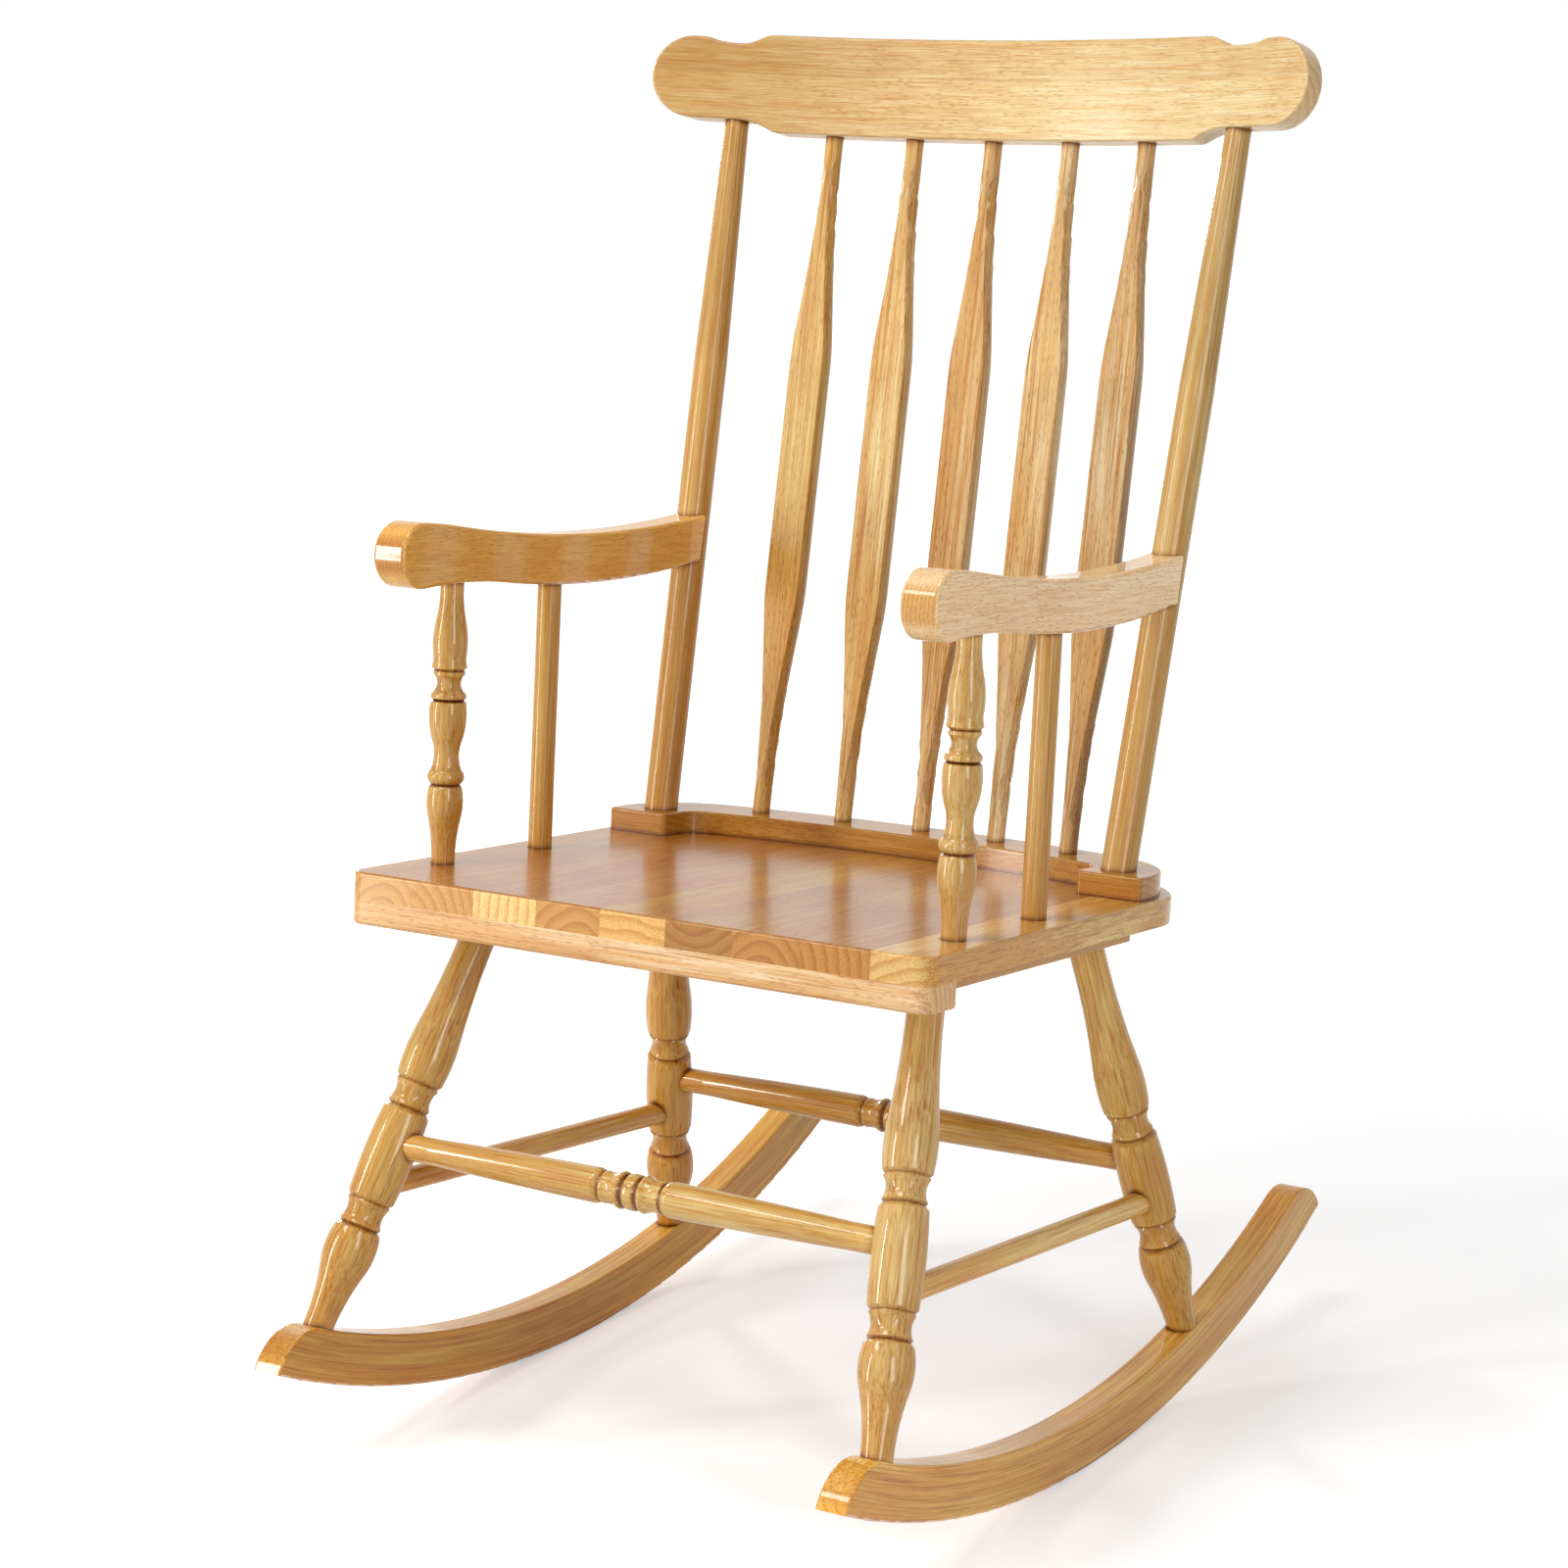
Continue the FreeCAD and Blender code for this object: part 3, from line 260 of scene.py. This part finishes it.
def varnished_wood(name, lie, tone, pith=(0.07, 0.04), turn=0.0, ring=0.006, arc=None,
                   strip=None, fade=None, end_tone=None, pores=0.45, figure=1.0, contrast=1.0,
                   run=2.2, gloss=0.07, coat=0.7):
    """Clear varnished hardwood.

    Lie is the piece's middle and the way that it runs. Pith is where the middle of the tree was,
    from the piece's middle, turn rolls the grain, and ring is one year's growth. Arc (axis,
    radius) bends the grain, strip (axis, width, seed) glues the piece up of strips, and fade
    (near, far, tint) darkens one end. Pores, figure and contrast are how strongly the wood is
    marked, and run is how long its streaks are. Gloss is the varnish's roughness, coat its weight.
    """
    finish, tree = new_finish(name)
    place = step(tree, "TexCoord").outputs
    grain = grain_of(tree, place["Object"], lie, turn)
    washes = []
    if arc:
        grain = bent_along(tree, grain, *arc)
    if fade:
        washes.append(faded(tree, grain, *fade))
    if strip:
        grain, tints, line = glued_up(tree, grain, *strip)
        washes += [tints, line]

    def drawn_out(share, scale, detail, roughness=0.6):
        """Noise drawn out along the grain."""
        at = step(tree, "Mapping", {"Vector": grain, "Scale": (1, 1, share / run)})
        return step(tree, "TexNoise", {"Vector": at.outputs["Vector"], "Scale": scale,
                                       "Detail": detail, "Roughness": roughness}).outputs["Fac"]

    def marked(noise, low, high, strength):
        """Where noise is high, a mark as strong as the piece's figure makes it."""
        return spread(tree, noise, [(low, 0), (high, min(1, strength * figure))])

    def darker(shares):
        """The piece's tone in a darker part of its figure."""
        return tuple(part * share ** contrast for part, share in zip(tone, shares))

    def shaded(colour, shares):
        """A colour with a share left of each of its parts."""
        return tuple(part * share for part, share in zip(colour, shares))

    # growth rings, then streaks and fibres that run the length of the piece
    rings = growth_rings(tree, grain, pith, ring)
    fibres = drawn_out(**FIBRES)
    fine = spread(tree, fibres, FIBRE_WASH)
    streaks = marked(drawn_out(**STREAKS), *STREAK_MARKS)
    lines = marked(drawn_out(**LINES), *LINE_MARKS)
    drift = drawn_out(**DRIFT)
    warm = darker(WARM_WOOD)
    colour = blend(tree, blend(tree, RING_SHARE, streaks, rings), shaded(tone, PALE_WOOD), warm)
    colour = blend(tree, marked(drift, *DRIFT_MARKS), colour, warm)
    colour = blend(tree, lines, colour, darker(RICH_WOOD))
    for wash in (fine, *washes):
        colour = washed(tree, colour, wash)

    # sawn ends show their rings and drink more varnish
    facing = step(tree, "VectorMath", {0: place["Normal"], 1: lie[1]}, operation="DOT_PRODUCT")
    end = reckon(tree, "ABSOLUTE", facing.outputs["Value"])
    end_tone = end_tone or shaded(tone, SAWN_END)
    sawn = washed(tree, blend(tree, rings, end_tone, shaded(end_tone, SAWN_RING)), fine)
    colour = blend(tree, spread(tree, end, SAWN_FACING), colour, sawn)

    # open pores, then painted shade in grooves and where pieces meet, and edges lightened where
    # the varnish wears thin
    dashes = open_pores(tree, grain, drift, pores)
    colour = blend(tree, dashes, colour, darker(PORE_DARK))
    # painted shade: grooves darken by how hollow the surface is, and joints by ambient occlusion
    bend = step(tree, "NewGeometry").outputs["Pointiness"]
    colour = washed(tree, colour, spread(tree, bend, GROOVE_SHADE_AND_EDGE_WEAR))
    near = step(tree, "AmbientOcclusion", {"Distance": JOINT_SHADE_REACH}, samples=JOINT_SHADE_SAMPLES)
    colour = washed(tree, colour, spread(tree, near.outputs["AO"], JOINT_SHADE))

    # the wood's own roughness and relief, and the skin of varnish over it
    rough = spread(tree, blend(tree, 0.5, fibres, dashes), WOOD_ROUGHNESS)
    raised = blend(tree, dashes, spread(tree, fibres, FIBRE_HEIGHT), 0)
    relief = step(tree, "Bump", {"Height": raised, **WOOD_RELIEF})
    wave = step(tree, "TexNoise", {"Vector": grain, **SKIN_WAVES}).outputs["Fac"]
    skin = step(tree, "Bump", {"Height": wave, **SKIN_RELIEF})
    show(tree, step(tree, "BsdfPrincipled", {
        "Base Color": colour, "Roughness": rough, "Normal": relief.outputs[0],
        "Coat Normal": skin.outputs[0], "Coat Weight": coat, "Coat Roughness": gloss,
        "Coat IOR": VARNISH_IOR, "Specular IOR Level": WOOD_SHEEN,
        "Coat Tint": opaque(VARNISH_TINT)}))
    return finish


def dress(node, finish):
    """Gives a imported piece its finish."""
    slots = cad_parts[node].data.materials
    slots.clear()
    slots.append(finish)


def in_wood(node, lie, tone, **marks):
    """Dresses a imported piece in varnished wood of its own."""
    dress(node, varnished_wood(node + "_wood", lie, tone, **marks))


for side, seed in ROCKER_SEEDS.items():
    node = "rocker_" + side
    middle = lie_of(node, Y)[0]
    in_wood(node, (middle, ALONG_Y), ROCKER_TONES[side], pith=(0.03, 0.06), ring=0.008,
            arc=("Y", ROCKER_ARC - middle.z), strip=("Y", ROCKER_STRIP, seed),
            fade=ROCKER_FADES[side], figure=1.4, contrast=1.5)


# Legs
# Four legs turned from square billets, with beads, grooves and a ball foot seated on the rocker.
# The grain runs up each leg, which splays out and forwards or back, and each is rolled about its
# length, so that no two show the same side.
LEG_TONES = {
    "leg_front_right": (0.700, 0.561, 0.268),
    "leg_front_left": (0.630, 0.456, 0.153),
    "leg_rear_right": (0.711, 0.558, 0.212),
    "leg_rear_left": (0.693, 0.466, 0.127),
}

for turn, (node, tone) in enumerate(LEG_TONES.items()):
    in_wood(node, lie_of(node, Z), tone, pith=(0.05, 0.02), turn=turn, figure=1.3, contrast=1.3)


# Stretchers
# Two turned cross stretchers with a disc between two swellings, and two plain side rods, all
# tenoned into the legs. The table gives each one's axis, tone and roll about its length.
STRETCHERS = {
    "stretcher_front": (X, (0.690, 0.564, 0.265), 0),
    "stretcher_rear": (X, (0.645, 0.468, 0.162), 0),
    "stretcher_right": (Y, (0.821, 0.674, 0.297), 1),
    "stretcher_left": (Y, (0.695, 0.475, 0.111), 1),
}

for node, (axis, tone, turn) in STRETCHERS.items():
    in_wood(node, lie_of(node, axis), tone, pith=(0.03, 0.06), turn=turn, figure=1.3,
            contrast=1.3)


# Seat
# Nine staves edge-glued into one panel, each cut from another board, so that its end grain at the
# front edge has its own arcs and tint. The top is flat and highly varnished.
# Each stave's tone, the tone of its sawn end, where its pith was, and how the board is rolled.
STAVES = {
    "seat_stave_1": ((0.471, 0.289, 0.062), (0.58, 0.36, 0.105), (0.03, 0.02), 0.3),
    "seat_stave_2": ((0.454, 0.262, 0.067), (0.55, 0.33, 0.08), (0.015, 0.05), 1.2),
    "seat_stave_3": ((0.419, 0.232, 0.092), (0.79, 0.63, 0.28), (0.12, 0.10), 2.5),
    "seat_stave_4": ((0.459, 0.286, 0.132), (0.54, 0.32, 0.095), (0.01, 0.035), 0.0),
    "seat_stave_5": ((0.486, 0.334, 0.078), (0.71, 0.49, 0.19), (0.10, 0.15), 0.6),
    "seat_stave_6": ((0.423, 0.260, 0.070), (0.38, 0.205, 0.055), (0.005, 0.03), 3.1),
    "seat_stave_7": ((0.435, 0.274, 0.066), (0.47, 0.25, 0.075), (0.0, 0.028), 0.1),
    "seat_stave_8": ((0.420, 0.252, 0.079), (0.48, 0.25, 0.07), (0.03, 0.04), 2.0),
    # Stave 9 is paler partly in its own wood and partly as painted light, for its lit right edge
    # face.
    "seat_stave_9": ((0.703, 0.549, 0.216), (0.66, 0.49, 0.22), (0.05, 0.03), 1.0),
}

for node, (tone, end_tone, pith, turn) in STAVES.items():
    in_wood(node, lie_of(node, Y), tone, pith=pith, turn=turn, ring=0.009, end_tone=end_tone,
            pores=1.0, figure=1.35, contrast=1.5, run=1.2, gloss=0.2, coat=0.8)


# Batten and runners
# A batten screwed under the front edge makes the seat look thicker there, and two runners under
# the sides stiffen the panel and hold the legs.
BATTEN_TONE = (0.757, 0.636, 0.471)
RUNNER_TONE = (0.56, 0.37, 0.13)

in_wood("seat_batten", lie_of("seat_batten", X), BATTEN_TONE, pith=(0.12, 0.02), pores=1.0,
        figure=1.2, contrast=1.4, gloss=0.2)
for node in ("runner_right", "runner_left"):
    in_wood(node, lie_of(node, Y), RUNNER_TONE, pith=(0.02, 0.09))


# Back rail
# One bowed rail sawn from thick board, with a square block at each end, screwed to the seat from
# below. Posts and slats stand in its sockets.
RAIL_TONE = (0.481, 0.286, 0.070)

in_wood("back_rail", lie_of("back_rail", X), RAIL_TONE, pith=(0.04, 0.10), pores=0.8, figure=1.3)


# Back posts and slats
# Two round posts tapering to the crest, and five slats turned round at the ends and planed flat
# in the middle, each from another piece of wood.
POST_TONES = {
    "back_post_right": (0.552, 0.427, 0.202),
    "back_post_left": (0.535, 0.364, 0.134),
}
# Each slat's tone, where its pith was, and how the billet is rolled.
SLATS = {
    "back_slat_1": ((0.615, 0.473, 0.184), (0.06, 0.01), 0.2),
    "back_slat_2": ((0.680, 0.558, 0.290), (0.09, 0.03), 0.9),
    "back_slat_3": ((0.623, 0.480, 0.258), (0.05, 0.05), 1.7),
    "back_slat_4": ((0.699, 0.609, 0.390), (0.10, 0.02), 2.3),
    "back_slat_5": ((0.603, 0.504, 0.323), (0.07, 0.03), 0.5),
}

for node, tone in POST_TONES.items():
    in_wood(node, lie_of(node, Z), tone, pith=(0.06, 0.03), gloss=0.13, coat=0.45)
for node, (tone, pith, turn) in SLATS.items():
    in_wood(node, lie_of(node, Z), tone, pith=pith, turn=turn, pores=1.0, figure=1.3,
            contrast=1.45, gloss=0.14, coat=0.4)


# Crest rail
# A board glued up of two strips, bent to a wide curve and shaped to an ear at each end. The grain
# runs across the chair, and painted shade darkens the left end, which is turned away from the
# lamps.
ALONG_X = Vector((1, 0, 0))
CREST_TONE = (0.759, 0.681, 0.447)
# Painted shade: the left end of the crest is tinted darker, as it lies in less light.
CREST_LEFT_SHADE = (-0.27, 0.04, (0.74, 0.60, 0.42))
CREST_ARC = 0.88
CREST_LEAN = math.radians(10.5)
CREST_STRIP = 0.06
CREST_SEED = 4.0

crest_lie = (lie_of("crest_rail", X)[0], ALONG_X)
in_wood("crest_rail", crest_lie, CREST_TONE, pith=(0.02, 0.13), turn=-CREST_LEAN, ring=0.009,
        arc=("X", -CREST_ARC), strip=("Y", CREST_STRIP, CREST_SEED), fade=CREST_LEFT_SHADE, pores=1.0,
        figure=0.6, run=1.0, gloss=0.2, coat=0.5)


# Arms
# Each arm is sawn to a curve from thick board and rounded at the nose. A turned post and a plain
# spindle carry it, and a screw through the back post holds its rear end.
# The right arm's pale tone is partly its own board and partly painted sheen, for the light and
# reflection on its outer face.
ARM_TONES = {"right": (0.930, 0.794, 0.582), "left": (0.801, 0.521, 0.153)}
ARM_END_TONES = {"right": (0.67, 0.44, 0.17), "left": (0.52, 0.26, 0.05)}
ARM_POST_TONES = {"right": (0.643, 0.490, 0.217), "left": (0.619, 0.431, 0.149)}
SPINDLE_TONES = {"right": (0.530, 0.364, 0.139), "left": (0.548, 0.368, 0.116)}

for side in ("right", "left"):
    arm, post, spindle = "arm_" + side, "arm_post_" + side, "arm_spindle_" + side
    in_wood(arm, lie_of(arm, Y), ARM_TONES[side], pith=(0.30, 0.02), ring=0.0034,
            end_tone=ARM_END_TONES[side], pores=1.0, figure=0.45, run=1.0)
    in_wood(post, lie_of(post, Z), ARM_POST_TONES[side], pith=(0.04, 0.02))
    in_wood(spindle, lie_of(spindle, Z), SPINDLE_TONES[side], pith=(0.05, 0.02), gloss=0.13,
            coat=0.45)


# Screws
# Countersunk steel wood screws, zinc plated and lightly brushed by handling. They hold the legs,
# arms, batten, runners and back rail.
BRIGHT_ZINC = (0.56, 0.56, 0.54)
DULL_ZINC = (0.40, 0.39, 0.36)
DULL_PATCHES = {"Scale": 300, "Detail": 4}
DULL_SHARE = [(0.35, 0), (0.7, 1)]
BRUSHED_ACROSS = (1, 8, 1)
SCRATCHES = {"Scale": 900, "Detail": 3}
ZINC_ROUGHNESS = [(0.3, 0.28), (0.7, 0.45)]
ZINC_RELIEF = {"Strength": 0.2, "Distance": 0.0001}


def plated_steel(name):
    """Zinc plated steel, dulled unevenly."""
    finish, tree = new_finish(name)
    place = step(tree, "TexCoord").outputs["Object"]
    patches = step(tree, "TexNoise", {"Vector": place, **DULL_PATCHES}).outputs["Fac"]
    dull = spread(tree, patches, DULL_SHARE)
    brushed = step(tree, "Mapping", {"Vector": place, "Scale": BRUSHED_ACROSS}).outputs[0]
    scratches = step(tree, "TexNoise", {"Vector": brushed, **SCRATCHES}).outputs["Fac"]
    relief = step(tree, "Bump", {"Height": scratches, **ZINC_RELIEF})
    show(tree, step(tree, "BsdfPrincipled", {
        "Base Color": blend(tree, dull, BRIGHT_ZINC, DULL_ZINC), "Metallic": 1.0,
        "Roughness": spread(tree, scratches, ZINC_ROUGHNESS), "Normal": relief.outputs[0]}))
    return finish


for node in ("long_screws", "short_screws"):
    dress(node, plated_steel(node + "_steel"))


# Studio
# A white floor that runs into a white surround, five soft lamps, and a camera that stands where
# the photograph was taken.
EYE = Vector((1.4557, -2.3862, 1.0846))
AIM = Vector((-0.0475, 0.0194, 0.4924))
LENS = 83.6
SENSOR = 36
WHITE = (1, 1, 1, 1)
SURROUND_LIGHT = 0.24
FLOOR_SIZE = 60
FLOOR_PAINT = (0.80, 0.80, 0.80, 1)
FLOOR_GLOW = 0.43
GLOW_STARTS, GLOW_FULL = 0.9, 4.0
# Each lamp's place, width, height and power in watts.
LAMPS = {
    "key_lamp": ((-2.15, -2.35, 1.0), 0.28, 1.9, 52),
    "high_lamp": ((-1.15, -1.9, 2.35), 0.8, 0.4, 18),
    "fill_lamp": ((2.45, -1.6, 1.3), 0.7, 1.7, 32),
    "top_lamp": ((-0.4, -0.9, 3.2), 1.0, 0.9, 32),
    "rear_lamp": ((-2.5, 1.7, 1.35), 0.35, 0.35, 26),
}


def seen(tree):
    """One where a ray comes from the camera, or by a reflection or through glass."""
    path = step(tree, "LightPath").outputs
    shown = reckon(tree, "MAXIMUM", path["Is Camera Ray"], path["Is Glossy Ray"])
    return reckon(tree, "MAXIMUM", shown, path["Is Transmission Ray"])


def facing_chair(place):
    """The turn that points a lamp or the camera at the chair's middle."""
    return (AIM - Vector(place)).to_track_quat("-Z", "Y").to_euler()


surround = bpy.data.worlds.new("surround")
surround.use_nodes = True
bpy.context.scene.world = surround
tree = surround.node_tree
tree.nodes.clear()
strength = step(tree, "MapRange", {"Value": seen(tree), "To Min": SURROUND_LIGHT, "To Max": 1.0})
show(tree, step(tree, "Background", {"Color": WHITE, "Strength": strength.outputs[0]}),
     onto="OutputWorld")

floor_finish, tree = new_finish("studio_floor")
paint = step(tree, "BsdfDiffuse", {"Color": FLOOR_PAINT})
reach = step(tree, "VectorMath", {0: step(tree, "TexCoord").outputs["Object"]},
             operation="LENGTH").outputs["Value"]
rising = step(tree, "MapRange", {"Value": reach, "From Min": GLOW_STARTS, "From Max": GLOW_FULL,
                                 "To Min": FLOOR_GLOW, "To Max": 1.0}).outputs[0]
glow = step(tree, "Emission", {"Color": WHITE,
                               "Strength": reckon(tree, "MULTIPLY", seen(tree), rising)})
show(tree, step(tree, "AddShader", {0: paint.outputs[0], 1: glow.outputs[0]}))
bpy.ops.mesh.primitive_plane_add(size=FLOOR_SIZE, location=(0, 0, 0))
floor = bpy.context.object
floor.name = "studio_floor"
floor.data.materials.append(floor_finish)

for name, (place, width, height, power) in LAMPS.items():
    light = bpy.data.lights.new(name, "AREA")
    light.shape = "RECTANGLE"
    light.size, light.size_y, light.energy = width, height, power
    lamp = bpy.data.objects.new(name, light)
    lamp.location = place
    lamp.rotation_euler = facing_chair(place)
    bpy.context.scene.collection.objects.link(lamp)

view = bpy.data.cameras.new("camera")
view.lens = LENS
view.sensor_width = SENSOR
camera = bpy.data.objects.new("camera", view)
camera.location = EYE
camera.rotation_euler = facing_chair(EYE)
bpy.context.scene.collection.objects.link(camera)
bpy.context.scene.camera = camera
bpy.context.scene.view_settings.view_transform = "Standard"
